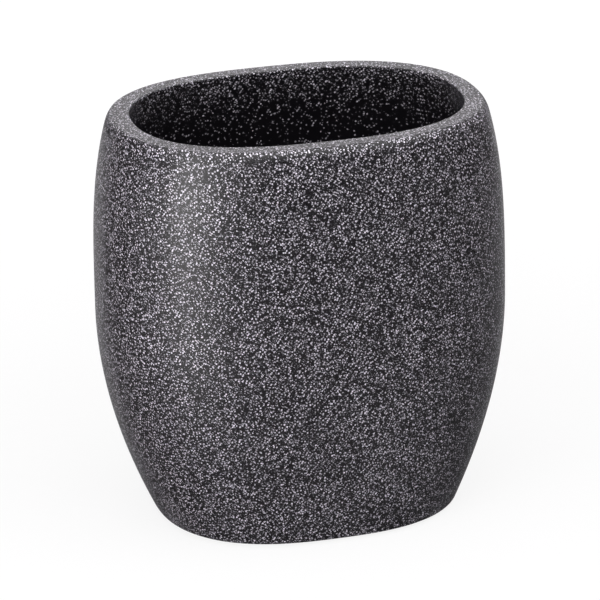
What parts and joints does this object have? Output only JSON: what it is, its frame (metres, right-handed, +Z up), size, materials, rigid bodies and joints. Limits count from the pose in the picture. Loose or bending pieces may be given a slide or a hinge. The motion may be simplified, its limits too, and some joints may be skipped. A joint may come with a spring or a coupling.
{
  "type": "bathroom tumbler",
  "caption": "Oval barrel-shaped bathroom tumbler, open at the top and free-standing, cast in dark stone-flecked resin, for rinsing or holding toothbrushes.",
  "frame": {"origin": "centre of the pad's underside, on the surface the tumbler stands on", "axes": "+Z up out of the mouth, +X along the oval's long axis, +Y along its short axis"},
  "size_m": [0.0992, 0.0708, 0.1],
  "materials": {
    "flecked_resin": "satin cast polyester resin, near black with dense fine pale flecks",
    "adhesive_film": "tacky translucent film, hidden",
    "pad_foam": "matt closed-cell foam"
  },
  "bodies": {
    "root": {"tumbler_body": "flecked_resin", "pad_adhesive": "adhesive_film", "base_pad": "pad_foam"}
  },
  "joints": []
}
